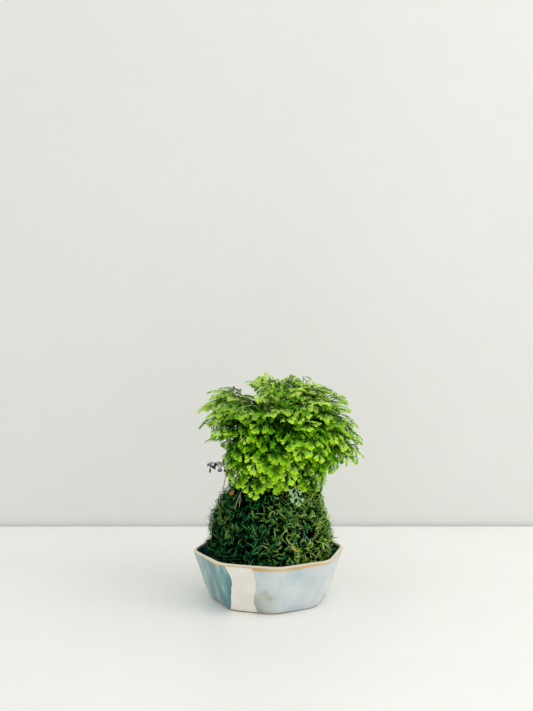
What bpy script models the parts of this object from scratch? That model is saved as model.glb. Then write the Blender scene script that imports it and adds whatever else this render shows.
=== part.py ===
"""A kokedama: a ball of soil wrapped in sheets of moss and bound with thread, with a tuft of spike
moss growing out of its top, standing in an eight-sided stoneware bowl.

Metres, +Z up. The origin is the middle of the bowl's flat foot, and the front is -Y.
"""

import math
import random

import bmesh
import bpy
from mathutils import Matrix, Vector, noise

GAP = 0.0003  # between pieces that touch

# Bowl
BOWL_SIDES = 8
RIM_RADIUS = 0.0682  # to a corner, before it is rounded
FOOT_RADIUS = 0.0524
BOWL_HEIGHT = 0.0413
BOWL_WALL = 0.0035
BOWL_TURN = math.radians(6)
CORNER_ROUNDING = 0.006
LIP_ROUNDING = 0.0012

# Ball of soil and moss: the outside of the moss as (radius, height), from its top opening down
BALL_PROFILE = (
    (0.0170, 0.1105),
    (0.0285, 0.1070),
    (0.0395, 0.0980),
    (0.0475, 0.0850),
    (0.0520, 0.0690),
    (0.0535, 0.0500),
    (0.0505, 0.0310),
    (0.0435, 0.0150),
    (0.0330, 0.0062),
    (0.0200, BOWL_WALL + GAP),
    (0.0060, BOWL_WALL + GAP),
)
MOSS_THICKNESS = 0.008
BALL_STEPS = 36
SHEET_ANGLE = math.radians(119)
SHEET_STARTS = {"moss_sheet_left": 128, "moss_sheet_back": 8, "moss_sheet_right": 248}  # degrees
BALL_SHIFT = 0.0015  # towards +X, off the middle of the bowl
BALL_BEND = 2.2  # times the square of the height above BEND_FROM, towards +X as well
BEND_FROM = 0.055
HOLLOW_PLACE = Vector((0.050, -0.004, 0.086))  # where the moss is thin, on the right
HOLLOW_DEPTH = 0.0050
HOLLOW_SIZE = 0.022
LUMP_HEIGHT = 0.018  # as a share of the radius
LUMP_FREQUENCY = 38  # per metre

# Binding thread: two turns that rise and fall round the ball
THREAD_RADIUS = 0.0003
THREAD_POINTS = 76
THREAD_MIDDLE = 0.062
THREAD_SWING = 0.026
THREAD_WAVES = 2.5  # rises and falls in one turn
THREAD_CROSSING = math.radians(-51)  # azimuth at which a falling stretch crosses the front
THREAD_LIFTS = (0.00075, 0.0017)  # of the first and the second turn over the moss
THREAD_ENDS = math.radians(16)  # left free between the thread's two ends
SLOPE_STEP = 0.0005  # over which the slope of the moss is measured

# Rootstock, at the top of the soil
ROOTSTOCK_RADIUS = 0.0125
# Its outline from the soil up, as shares of its radius and height
ROOTSTOCK_OUTLINE = ((0.92, 0.0), (1.0, 0.6), (0.88, 1.0))

# Plant. Each tier of stems is a fountain: its stems, and the two fronds that each carries, are
# arcs in upright planes round the rootstock, and the arcs of one tier pass over those of the next.
# A reach is the share of its arc that a frond fills, for the frond at the stem's end and for the
# one on its underside.
STEM_RADIUS = 0.0010
STEM_POINTS = 9
STEM_SHARE = 0.50  # of the arc is bare stem, and the rest is the frond at its end
FROND_THICKNESS = 0.0022
FROND_ROWS = 6
FROND_COLUMNS = 4
CROWN_TOP = 0.112
SEED = 4
# Arcs as Bezier points (radius, height) from the rootstock out, and the side frond's last three
TIERS = (
    {
        "name": "outer",
        "count": 7,
        "turn": 205.7,
        "arc": ((0.0090, CROWN_TOP), (0.0120, 0.142), (0.038, 0.153), (0.064, 0.119)),
        "side_at": 0.30,
        "side_arc": ((0.024, 0.137), (0.042, 0.133), (0.053, 0.098)),
        "widths": (0.056, 0.044),
        "reaches": ((0.94, 0.88), (1, 1), (1, 0.74), (1, 0.74), (0.92, 0.8), (0.9, 0.84), (0.9, 0.78)),
    },
    {
        "name": "middle",
        "count": 6,
        "turn": 240.0,
        "arc": ((0.0055, CROWN_TOP), (0.0060, 0.160), (0.034, 0.192), (0.066, 0.164)),
        "side_at": 0.36,
        "side_arc": ((0.022, 0.162), (0.046, 0.172), (0.069, 0.141)),
        "widths": (0.062, 0.066),
        "reaches": ((1, 1), (0.97, 1), (0.87, 1), (0.97, 0.92), (1, 0.9), (0.96, 0.93)),
    },
    {
        "name": "inner",
        "count": 3,
        "turn": 262.0,
        "arc": ((0.0020, CROWN_TOP), (0.0022, 0.165), (0.004, 0.197), (0.030, 0.1955)),
        "side_at": 0.56,
        "side_arc": ((0.012, 0.183), (0.034, 0.197), (0.056, 0.180)),
        "widths": (0.040, 0.066),
        "reaches": ((1, 1), (1, 0.94), (0.94, 0.97)),
    },
)
TURN_JITTER = 0.03  # of the spacing between neighbours
WIDEST_SHARE = 0.43  # of the spacing, to each side
SWAY_RADIUS = 0.050  # fronds that reach this far from the rootstock sway in full
SWAY_SWING = 0.008  # low fronds reach further to +X and high ones to -X
SWAY_HEIGHT = 0.128
SWAY_WAVE = 0.085

# Dry pieces. The routes that lie on the moss are (azimuth in degrees, height)
STALK_RADIUS = 0.0005
FRONT_STALK = ((217, 0.1025), (221, 0.0970), (225, 0.0915), (228, 0.0860))
LEFT_STALK_FOOT = (182, 0.0905)
LEFT_STALK_RISE = ((-0.0395, -0.0012, 0.100), (-0.0368, -0.0012, 0.112), (-0.0335, -0.0010, 0.124))
WITHERED_RADIUS = 0.0007
WITHERED_AZIMUTH = math.radians(179)
WITHERED_ARC = ((0.0090, CROWN_TOP + 0.0008), (0.022, 0.1195), (0.040, 0.1215), (0.066, 0.1155))
WITHERED_POINTS = 9
BARK_PLACE = (207, 0.0965)
BARK_SIZE = (0.0065, 0.0040, 0.0018)

COLOURS = {  # name: (red, green, blue, roughness)
    "glaze": (0.47, 0.60, 0.62, 0.25),
    "soil": (0.06, 0.04, 0.03, 0.95),
    "moss": (0.05, 0.13, 0.03, 0.9),
    "thread": (0.10, 0.30, 0.27, 0.6),
    "rootstock": (0.20, 0.17, 0.08, 0.85),
    "stem": (0.36, 0.50, 0.16, 0.6),
    "frond": (0.20, 0.48, 0.04, 0.55),
    "dry": (0.50, 0.42, 0.25, 0.8),
    "withered": (0.03, 0.04, 0.05, 0.9),
    "bark": (0.35, 0.22, 0.07, 0.85),
}


def material(name):
    """The named finish, made on first use."""
    made = bpy.data.materials.get(name)
    if made:
        return made
    made = bpy.data.materials.new(name)
    made.use_nodes = True
    shader = made.node_tree.nodes["Principled BSDF"]
    red, green, blue, roughness = COLOURS[name]
    shader.inputs["Base Color"].default_value = (red, green, blue, 1)
    shader.inputs["Roughness"].default_value = roughness
    shader.inputs["Metallic"].default_value = 0
    return made


def add(name, data, finish):
    """A new object of the kokedama, with its material."""
    made = bpy.data.objects.new(name, data)
    made.data.materials.append(material(finish))
    bpy.data.collections["kokedama"].objects.link(made)
    return made


def add_bmesh(name, bm, finish, smooth=True):
    mesh = bpy.data.meshes.new(name)
    bm.to_mesh(mesh)
    bm.free()
    if smooth:
        mesh.shade_smooth()
        mesh.set_sharp_from_angle(angle=math.radians(40))
    return add(name, mesh, finish)


def tube(name, points, radius, finish, resolution=2):
    """A rod along these points, with closed ends."""
    curve = bpy.data.curves.new(name, "CURVE")
    curve.dimensions = "3D"
    curve.bevel_depth = radius
    curve.bevel_resolution = resolution
    curve.use_fill_caps = True
    spline = curve.splines.new("POLY")
    spline.points.add(len(points) - 1)
    for spot, point in zip(spline.points, points):
        spot.co = (*point, 1)
    return add(name, curve, finish)


# Bowl


def bowl():
    """An open eight-sided cup, given its rounded corners, its wall and its rounded lip by modifiers."""
    bm = bmesh.new()
    place = Matrix.Translation((0, 0, BOWL_HEIGHT / 2)) @ Matrix.Rotation(BOWL_TURN, 4, "Z")
    bmesh.ops.create_cone(
        bm,
        cap_ends=True,
        segments=BOWL_SIDES,
        radius1=FOOT_RADIUS,
        radius2=RIM_RADIUS,
        depth=BOWL_HEIGHT,
        matrix=place,
    )
    top = [face for face in bm.faces if face.normal.z > 0.9]
    bmesh.ops.delete(bm, geom=top, context="FACES_ONLY")
    made = add_bmesh("bowl", bm, "glaze")
    corners = made.modifiers.new("corners", "BEVEL")
    corners.width = CORNER_ROUNDING
    corners.segments = 3
    corners.limit_method = "ANGLE"
    corners.angle_limit = math.radians(20)
    wall = made.modifiers.new("wall", "SOLIDIFY")
    wall.thickness = BOWL_WALL
    wall.offset = -1
    wall.use_even_offset = True
    lip = made.modifiers.new("lip", "BEVEL")
    lip.width = LIP_ROUNDING
    lip.segments = 2
    lip.limit_method = "ANGLE"
    lip.angle_limit = math.radians(50)
    return made


# Ball


def bend(height):
    """How far the ball's middle is to +X of the bowl's at this height."""
    return BALL_SHIFT + BALL_BEND * max(height - BEND_FROM, 0) ** 2


def settled(point):
    """Where a point of the upright, round ball lies once it has slumped and grown lumpy."""
    out = Vector((point.x, point.y, 0))
    near = math.exp(-((point - HOLLOW_PLACE).length / HOLLOW_SIZE) ** 2)
    lump = 1 + LUMP_HEIGHT * noise.noise(point * LUMP_FREQUENCY)
    moved = out * (lump - HOLLOW_DEPTH * near / HOLLOW_PLACE.x)
    return moved + Vector((bend(point.z), 0, point.z))


def inset(profile, depth):
    """The profile moved inwards by depth, square to itself."""
    moved = []
    for i, (radius, height) in enumerate(profile):
        before = Vector(profile[max(i - 1, 0)])
        after = Vector(profile[min(i + 1, len(profile) - 1)])
        along = (after - before).normalized()
        moved.append((radius + along.y * depth, height - along.x * depth))
    return moved


def turned(name, outline, finish, angle=2 * math.pi, steps=BALL_STEPS, start=0.0, closed=False):
    """The outline, as (radius, height) points, turned about the upright axis by the Screw modifier."""
    bm = bmesh.new()
    spots = [bm.verts.new((radius, 0, height)) for radius, height in outline]
    for first, second in zip(spots, spots[1:]):
        bm.edges.new((first, second))
    if closed:
        bm.edges.new((spots[-1], spots[0]))
    made = add_bmesh(name, bm, finish, smooth=False)
    screw = made.modifiers.new("turn", "SCREW")
    screw.angle = angle
    screw.steps = screw.render_steps = steps
    screw.use_merge_vertices = not closed
    screw.merge_threshold = 0.00005
    screw.use_smooth_shade = False
    graph = bpy.context.evaluated_depsgraph_get()
    mesh = bpy.data.meshes.new_from_object(made.evaluated_get(graph))
    mesh.transform(Matrix.Rotation(start, 4, "Z"))
    made.modifiers.clear()
    made.data = mesh
    return made


def reshape(made, move, fill_ends=False):
    """Moves every vertex by the function move, and can close open ends first."""
    bm = bmesh.new()
    bm.from_mesh(made.data)
    if fill_ends:
        rims = [edge for edge in bm.edges if edge.is_boundary]
        bmesh.ops.holes_fill(bm, edges=rims)
        bmesh.ops.recalc_face_normals(bm, faces=bm.faces)
    for vertex in bm.verts:
        vertex.co = move(vertex.co)
    bm.to_mesh(made.data)
    bm.free()
    made.data.shade_smooth()
    made.data.set_sharp_from_angle(angle=math.radians(40))
    return made


def soil_ball():
    inner = inset(BALL_PROFILE, MOSS_THICKNESS + GAP)
    outline = [(0, inner[0][1]), *inner, (0, inner[-1][1])]
    return reshape(turned("soil_ball", outline, "soil"), settled)


def moss_sheets():
    """The three sheets of moss that wrap the soil, each a third of the shell."""
    inner = inset(BALL_PROFILE, MOSS_THICKNESS)
    outline = [*BALL_PROFILE, *reversed(inner)]
    steps = BALL_STEPS // len(SHEET_STARTS)
    for name, start in SHEET_STARTS.items():
        sheet = turned(
            name, outline, "moss", SHEET_ANGLE, steps, math.radians(start), closed=True
        )
        reshape(sheet, settled, fill_ends=True)


def ball_radius(height):
    """The radius of the round ball at this height."""
    for (upper_radius, upper), (lower_radius, lower) in zip(BALL_PROFILE, BALL_PROFILE[1:]):
        if lower <= height <= upper:
            share = (height - lower) / (upper - lower)
            return lower_radius + share * (upper_radius - lower_radius)
    raise ValueError(f"the ball has no moss at {height}")


def on_moss(azimuth, height, lift):
    """The point that lies this far off the moss, at this azimuth and height."""
    above, below = ball_radius(height + SLOPE_STEP), ball_radius(height - SLOPE_STEP)
    slope = (above - below) / (2 * SLOPE_STEP)
    out = Vector((1, -slope)).normalized()
    radius = ball_radius(height) + out.x * lift
    raised = height + out.y * lift
    round_point = Vector((radius * math.cos(azimuth), radius * math.sin(azimuth), raised))
    return settled(round_point)


def binding_thread():
    """Two turns that rise and fall. The second passes over the first where they cross."""
    points = []
    for i in range(THREAD_POINTS):
        share = i / (THREAD_POINTS - 1)
        angle = THREAD_ENDS + share * (4 * math.pi - 2 * THREAD_ENDS)
        azimuth = THREAD_CROSSING + math.pi / THREAD_WAVES + angle
        height = THREAD_MIDDLE + THREAD_SWING * math.sin(THREAD_WAVES * angle)
        blend = min(max((angle - 2 * math.pi) / THREAD_ENDS + 0.5, 0), 1)
        lift = THREAD_LIFTS[0] + blend * (THREAD_LIFTS[1] - THREAD_LIFTS[0])
        points.append(on_moss(azimuth, height, lift + THREAD_RADIUS))
    return tube("binding_thread", points, THREAD_RADIUS, "thread", resolution=1)


# Plant


def crown_centre():
    return Vector((bend(CROWN_TOP), 0, 0))


def rootstock():
    """The short stock that all the stems grow from, seated on the soil."""
    soil_top = inset(BALL_PROFILE, MOSS_THICKNESS + GAP)[0][1]
    bottom = soil_top + GAP
    top = CROWN_TOP - GAP
    side = [
        (across * ROOTSTOCK_RADIUS, bottom + up * (top - bottom))
        for across, up in reversed(ROOTSTOCK_OUTLINE)
    ]
    outline = [(0, top), *side, (0, bottom)]
    made = turned("rootstock", outline, "rootstock", steps=20)
    made.location = crown_centre()
    return made


def bezier(points, share):
    """The point at this share of a cubic Bezier curve."""
    first, second, third, fourth = (Vector(point) for point in points)
    rest = 1 - share
    return (
        first * rest**3
        + second * 3 * rest**2 * share
        + third * 3 * rest * share**2
        + fourth * share**3
    )


def slope_of(points, share):
    """The unit direction of the curve there."""
    step = 0.01
    low = bezier(points, max(share - step, 0))
    high = bezier(points, min(share + step, 1))
    return (high - low).normalized()


def swayed(azimuth, radius, height):
    """The place of a point of the plant, given round the rootstock's axis."""
    reach = min(radius / SWAY_RADIUS, 1) ** 2
    wave = math.cos(2 * math.pi * (height - SWAY_HEIGHT) / SWAY_WAVE)
    sway = reach * SWAY_SWING * wave
    flat = Vector((radius * math.cos(azimuth) + sway, radius * math.sin(azimuth), height))
    return flat + crown_centre()


def half_width(share, width):
    """Half the width of a frond: narrow at its foot, widest past its middle, round at its tip."""
    return width / 2 * max(math.sin(math.pi * (0.03 + 0.93 * share**0.8)), 0) ** 0.7


def frond(name, arc, azimuth, width, spacing, start, end):
    """A blade that follows the arc from start to end, curved round the plant's axis."""
    bm = bmesh.new()
    bmesh.ops.create_grid(
        bm, x_segments=FROND_ROWS, y_segments=FROND_COLUMNS, size=0.5
    )
    for vertex in bm.verts:
        along = vertex.co.x + 0.5
        across = 2 * vertex.co.y
        radius, height = bezier(arc, start + along * (end - start))
        angle = min(half_width(along, width) / radius, WIDEST_SHARE * spacing)
        vertex.co = swayed(azimuth + across * angle, radius, height)
    made = add_bmesh(name, bm, "frond")
    blade = made.modifiers.new("blade", "SOLIDIFY")
    blade.thickness = FROND_THICKNESS
    blade.offset = 0
    return made


def side_arc(tier):
    """The arc of the frond that hangs from the underside of a stem of this tier."""
    foot = bezier(tier["arc"], tier["side_at"])
    along = slope_of(tier["arc"], tier["side_at"])
    below = Vector((along.y, -along.x))
    start = foot + below * (STEM_RADIUS + FROND_THICKNESS / 2 + GAP)
    return (tuple(start), *tier["side_arc"])


def plant():
    """The stems of each tier, with a frond at the end of each and another on its underside."""
    number = 0
    chance = random.Random(SEED)
    for tier in TIERS:
        spacing = 2 * math.pi / tier["count"]
        length = (Vector(tier["arc"][3]) - Vector(tier["arc"][0])).length
        for i in range(tier["count"]):
            number += 1
            jitter = chance.uniform(-TURN_JITTER, TURN_JITTER)
            azimuth = math.radians(tier["turn"]) + (i + jitter) * spacing
            shares = [STEM_SHARE * k / (STEM_POINTS - 1) for k in range(STEM_POINTS)]
            route = [swayed(azimuth, *bezier(tier["arc"], share)) for share in shares]
            tube(f"stem_{number:02d}", route, STEM_RADIUS, "stem")
            ends = (tier["arc"], STEM_SHARE + GAP / length), (side_arc(tier), 0)
            for k, (arc, start) in enumerate(ends):
                name = f"frond_{2 * number - 1 + k:02d}"
                reach = tier["reaches"][i][k]
                frond(name, arc, azimuth, tier["widths"][k], spacing, start, reach)


# Dry pieces


def dry_stalks():
    """Two straw-coloured stalks: one lies on the moss and the other stands up from it."""
    lying = [
        on_moss(math.radians(degrees), height, STALK_RADIUS + GAP)
        for degrees, height in FRONT_STALK
    ]
    tube("dry_stalk_front", lying, STALK_RADIUS, "dry")
    degrees, height = LEFT_STALK_FOOT
    foot = on_moss(math.radians(degrees), height, STALK_RADIUS + GAP)
    tube("dry_stalk_left", [foot, *LEFT_STALK_RISE], STALK_RADIUS, "dry")


def withered_frond():
    """A dead frond that has dried to a dark stick, from the rootstock out between the stems."""
    shares = [k / (WITHERED_POINTS - 1) for k in range(WITHERED_POINTS)]
    route = [swayed(WITHERED_AZIMUTH, *bezier(WITHERED_ARC, share)) for share in shares]
    return tube("withered_frond", route, WITHERED_RADIUS, "withered")


def bark_chip():
    """A chip of bark, flat on the moss."""
    degrees, height = BARK_PLACE
    azimuth = math.radians(degrees)
    surface = on_moss(azimuth, height, 0)
    outward = (on_moss(azimuth, height, 0.001) - surface).normalized()
    bm = bmesh.new()
    bmesh.ops.create_uvsphere(bm, u_segments=12, v_segments=6, radius=0.5)
    bmesh.ops.scale(bm, vec=BARK_SIZE, verts=bm.verts)
    made = add_bmesh("bark_chip", bm, "bark")
    made.location = surface + outward * (BARK_SIZE[2] / 2 + GAP)
    made.rotation_euler = outward.to_track_quat("Z", "Y").to_euler()
    return made


def main():
    for old in list(bpy.data.objects):
        bpy.data.objects.remove(old)
    collection = bpy.data.collections.new("kokedama")
    bpy.context.scene.collection.children.link(collection)
    bowl()
    soil_ball()
    moss_sheets()
    binding_thread()
    rootstock()
    plant()
    dry_stalks()
    withered_frond()
    bark_chip()


main()
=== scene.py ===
"""The finished kokedama: a moss-wrapped ball of soil and a tuft of spike moss, in a bowl."""

import math
import random

import bpy
import numpy as np
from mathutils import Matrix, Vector, noise
from mathutils.geometry import intersect_point_line


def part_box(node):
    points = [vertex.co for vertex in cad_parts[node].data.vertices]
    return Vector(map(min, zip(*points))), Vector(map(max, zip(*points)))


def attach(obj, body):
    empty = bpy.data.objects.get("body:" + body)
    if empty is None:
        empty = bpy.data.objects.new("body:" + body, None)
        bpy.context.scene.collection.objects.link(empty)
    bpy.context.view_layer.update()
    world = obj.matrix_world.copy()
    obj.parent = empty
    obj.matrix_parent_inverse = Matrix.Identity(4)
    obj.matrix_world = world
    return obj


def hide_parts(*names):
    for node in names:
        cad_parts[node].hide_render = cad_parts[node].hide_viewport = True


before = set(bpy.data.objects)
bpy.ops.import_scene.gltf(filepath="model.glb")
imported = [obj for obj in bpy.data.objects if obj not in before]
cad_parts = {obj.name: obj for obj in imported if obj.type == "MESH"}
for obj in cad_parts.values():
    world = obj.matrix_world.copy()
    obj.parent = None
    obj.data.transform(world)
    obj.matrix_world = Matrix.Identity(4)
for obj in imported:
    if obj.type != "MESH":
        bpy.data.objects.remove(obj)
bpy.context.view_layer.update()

MM = 0.001
UP = np.array([0, 0, 1.0])
ASKEW = [0.31, 0.83, 0.46]  # a direction that no path follows, to turn things round it
SHEETS = ("left", "back", "right")
STEMS = 16
FRONDS = 32


# Small helpers


def deselect():
    if bpy.context.mode != "OBJECT":
        bpy.ops.object.mode_set(mode="OBJECT")
    bpy.ops.object.select_all(action="DESELECT")


def named(name):
    """The object that an operator has just added, renamed."""
    made = bpy.context.object
    made.name = name
    made.data.name = name
    return made


def activate(made):
    deselect()
    made.select_set(True)
    bpy.context.view_layer.objects.active = made


def finish_place(made):
    """Puts the object's place, turn and scale into its mesh."""
    activate(made)
    bpy.ops.object.transform_apply(location=True, rotation=True, scale=True)


def link(name, data):
    made = bpy.data.objects.new(name, data)
    bpy.context.scene.collection.objects.link(made)
    return made


def apply_modifiers(made):
    bpy.context.view_layer.objects.active = made
    for modifier in list(made.modifiers):
        bpy.ops.object.modifier_apply(modifier=modifier.name)


def select_where(made, kind, wanted):
    """In edit mode, selects the vertices, edges or faces for which wanted(element) is true."""
    bpy.ops.object.mode_set(mode="EDIT")
    bpy.ops.mesh.select_mode(type={"vertices": "VERT", "edges": "EDGE", "polygons": "FACE"}[kind])
    bpy.ops.mesh.select_all(action="DESELECT")
    bpy.ops.object.mode_set(mode="OBJECT")
    for element in getattr(made.data, kind):
        element.select = bool(wanted(element))
    bpy.ops.object.mode_set(mode="EDIT")


def mesh_piece(name, points, faces, uvs, material):
    """A smooth mesh from arrays of points (n, 3), triangles (m, 3) and each point's UV (n, 2)."""
    mesh = bpy.data.meshes.new(name)
    mesh.vertices.add(len(points))
    mesh.vertices.foreach_set("co", np.ascontiguousarray(points, np.float32).ravel())
    mesh.loops.add(3 * len(faces))
    mesh.loops.foreach_set("vertex_index", np.ascontiguousarray(faces, np.int32).ravel())
    mesh.polygons.add(len(faces))
    mesh.polygons.foreach_set("loop_start", np.arange(0, 3 * len(faces), 3, dtype=np.int32))
    mesh.polygons.foreach_set("loop_total", np.full(len(faces), 3, np.int32))
    mesh.polygons.foreach_set("use_smooth", np.ones(len(faces), bool))
    layer = mesh.uv_layers.new(name="OFBake")
    layer.data.foreach_set("uv", np.ascontiguousarray(uvs[faces.ravel()], np.float32).ravel())
    mesh.update()
    mesh.validate()
    mesh.materials.append(material)
    return link(name, mesh)


def place(made, slot, *nodes):
    """The piece moves with the one body and stands for these CAD nodes. Its slot is not used."""
    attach(made, "root")
    if nodes:
        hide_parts(*nodes)
    return made


def smoothstep(values, low, high):
    share = np.clip((values - low) / (high - low), 0, 1)
    return share * share * (3 - 2 * share)


def unit(vectors):
    return vectors / np.linalg.norm(vectors, axis=-1, keepdims=True)


def laid(shape, at, way, across, top, size):
    """A leaf's or fan's points, based at a point, with its three axes turned to these ways."""
    return at + (shape[:, :1] * way + shape[:, 1:2] * across + shape[:, 2:] * top) * size


def upper_face(forward, towards):
    """The direction square to forward that looks most towards another."""
    return unit(np.cross(forward, np.cross(towards, forward)))


def vertices_of(name):
    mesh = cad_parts[name].data
    points = np.empty(3 * len(mesh.vertices), np.float32)
    mesh.vertices.foreach_get("co", points)
    return points.reshape(-1, 3).astype(float)


# Shaders


def srgb(red, green, blue):
    """A colour as linear light, from its 0 to 255 display values."""
    def linear(value):
        value /= 255
        return value / 12.92 if value <= 0.04045 else ((value + 0.055) / 1.055) ** 2.4
    return (linear(red), linear(green), linear(blue), 1)


class Tree:
    """Adds and joins the nodes of one material or node group."""

    def __init__(self, tree):
        self.tree = tree

    def add(self, kind, settings=None, **inputs):
        made = self.tree.nodes.new(kind)
        for key, value in (settings or {}).items():
            setattr(made, key, value)
        for key, value in inputs.items():
            self.put(made, key, value)
        return made

    def put(self, made, key, value):
        key = int(key[1:]) if key[0] == "_" else key.replace("_", " ")
        socket = made.inputs[key]
        if isinstance(value, bpy.types.NodeSocket):
            self.tree.links.new(value, socket)
        else:
            socket.default_value = value

    def maths(self, operation, *values, clamp=False):
        made = self.tree.nodes.new("ShaderNodeMath")
        made.operation = operation
        made.use_clamp = clamp
        for i, value in enumerate(values):
            self.put(made, f"_{i}", value)
        return made.outputs[0]

    def times(self, *values):
        """The product of two or more values."""
        product = values[0]
        for value in values[1:]:
            product = self.maths("MULTIPLY", product, value)
        return product

    def plus(self, *values):
        """The sum of two or more values."""
        total = values[0]
        for value in values[1:]:
            total = self.maths("ADD", total, value)
        return total

    def minus(self, first, second):
        return self.maths("SUBTRACT", first, second)

    def noise(self, where, scale, detail, roughness=0.5):
        settings = {"Scale": scale, "Detail": detail, "Roughness": roughness}
        return self.add("ShaderNodeTexNoise", Vector=where, **settings).outputs[0]

    def uv(self):
        """The two coordinates of the UV map."""
        where = self.add("ShaderNodeTexCoord").outputs["UV"]
        return self.add("ShaderNodeSeparateXYZ", Vector=where).outputs[:2]

    def mix(self, factor, first, second, blend="MIX"):
        made = self.tree.nodes.new("ShaderNodeMix")
        made.data_type = "RGBA"
        made.blend_type = blend
        self.put(made, "_0", factor)
        self.put(made, "_6", first)
        self.put(made, "_7", second)
        return made.outputs[2]

    def ramp(self, value, *stops):
        """A colour ramp over (position, red, green, blue) stops, in display values."""
        made = self.tree.nodes.new("ShaderNodeValToRGB")
        stop_list = made.color_ramp.elements
        while len(stop_list) < len(stops):
            stop_list.new(0.5)
        for stop, (position, *colour) in zip(stop_list, stops):
            stop.position = position
            stop.color = srgb(*colour)
        self.put(made, "_0", value)
        return made.outputs[0]

    def between(self, value, low, high):
        """0 below low, 1 above high, and smooth between."""
        made = self.tree.nodes.new("ShaderNodeMapRange")
        made.interpolation_type = "SMOOTHSTEP"
        self.put(made, "_0", value)
        self.put(made, "_1", low)
        self.put(made, "_2", high)
        return made.outputs[0]


def new_material(name, roughness, specular=0.5):
    """A material with its Principled shader, and the Tree that adds its nodes."""
    made = bpy.data.materials.new(name)
    made.use_nodes = True
    shader = made.node_tree.nodes["Principled BSDF"]
    shader.inputs["Roughness"].default_value = roughness
    shader.inputs["Specular IOR Level"].default_value = specular
    return made, Tree(made.node_tree), shader


def new_group(name, inputs, outputs):
    """A node group with inputs {name: (kind, default)} and outputs {name: kind}, and its ends."""
    made = bpy.data.node_groups.new(name, "ShaderNodeTree")
    for key, (kind, default) in inputs.items():
        socket = made.interface.new_socket(key, in_out="INPUT", socket_type=kind)
        socket.default_value = default
    for key, kind in outputs.items():
        made.interface.new_socket(key, in_out="OUTPUT", socket_type=kind)
    tree = Tree(made)
    return made, tree, tree.add("NodeGroupInput").outputs, tree.add("NodeGroupOutput")


def grain_group():
    """Small uneven grain in the colour and the surface, for whatever is rough."""
    made, tree, given, out = new_group(
        "uneven grain",
        {
            "Colour": ("NodeSocketColor", (0.5, 0.5, 0.5, 1)),
            "Scale": ("NodeSocketFloat", 400.0),
            "Shade": ("NodeSocketFloat", 0.4),
            "Height": ("NodeSocketFloat", 0.0003),
        },
        {"Colour": "NodeSocketColor", "Normal": "NodeSocketVector"},
    )
    where = tree.add("ShaderNodeTexCoord").outputs["Object"]
    fine = tree.noise(where, given["Scale"], 4.0, 0.65)
    coarse = tree.noise(where, tree.times(given["Scale"], 0.17), 2.0)
    centred = tree.minus(tree.plus(tree.times(fine, 0.6), coarse), 0.8)
    factor = tree.plus(tree.times(centred, given["Shade"], 4.0), 1.0)
    grey = tree.add("ShaderNodeCombineColor", _0=factor, _1=factor, _2=factor).outputs[0]
    tree.put(out, "Colour", tree.mix(1.0, given["Colour"], grey, "MULTIPLY"))
    bump = tree.add("ShaderNodeBump", Height=fine, Distance=given["Height"], Strength=1.0)
    tree.put(out, "Normal", bump.outputs[0])
    return made


GRAIN = grain_group()


def rough_material(name, colour, roughness, scale, shade, height, specular=0.3):
    """A finish of one colour with uneven grain."""
    made, tree, shader = new_material(name, roughness, specular)
    grain = tree.add("ShaderNodeGroup", {"node_tree": GRAIN})
    for key, value in (("Colour", colour), ("Scale", scale), ("Shade", shade), ("Height", height)):
        grain.inputs[key].default_value = value
    tree.put(shader, "Base Color", grain.outputs["Colour"])
    tree.put(shader, "Normal", grain.outputs["Normal"])
    return made


def ramp_material(name, roughness, specular, first, second=None, change=(0.5, 0.6)):
    """A colour that runs along the UV's v, and takes a second ramp where u is past a change."""
    made, tree, shader = new_material(name, roughness, specular)
    u, v = tree.uv()
    colour = tree.ramp(v, *first)
    if second:
        colour = tree.mix(tree.between(u, *change), colour, tree.ramp(v, *second))
    tree.put(shader, "Base Color", colour)
    return made


# Camera, stage and light

CAMERA_PLACE = (-0.002, -0.868, 0.283)
CAMERA_PITCH = math.radians(85.45)
CAMERA_LENS = 50.6
WALL_Y = 0.2505
STAGE_HALF = 1.6
SEAM = 0.0045  # the gap between the table and the wall


def camera():
    data = bpy.data.cameras.new("camera")
    data.lens = CAMERA_LENS
    data.sensor_width = 36
    data.clip_start = 0.01
    made = link("camera", data)
    made.location = CAMERA_PLACE
    made.rotation_euler = (CAMERA_PITCH, 0, 0)
    bpy.context.scene.camera = made


def open_from_behind(made):
    """Lets the object be seen from the wall's far side."""
    tree = Tree(made.node_tree)
    output = next(node for node in made.node_tree.nodes if node.type == "OUTPUT_MATERIAL")
    shader = next(node for node in made.node_tree.nodes if node.type == "BSDF_PRINCIPLED")
    behind = tree.add("ShaderNodeNewGeometry").outputs["Backfacing"]
    clear = tree.add("ShaderNodeBsdfTransparent").outputs[0]
    mixed = tree.add("ShaderNodeMixShader", _0=behind, _1=shader.outputs[0], _2=clear)
    made.node_tree.links.new(mixed.outputs[0], output.inputs["Surface"])
    return made


def stage_piece(name, material):
    """The plane or box just added becomes a part of the stage."""
    made = named(name)
    finish_place(made)
    made.data.materials.append(material)


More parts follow.
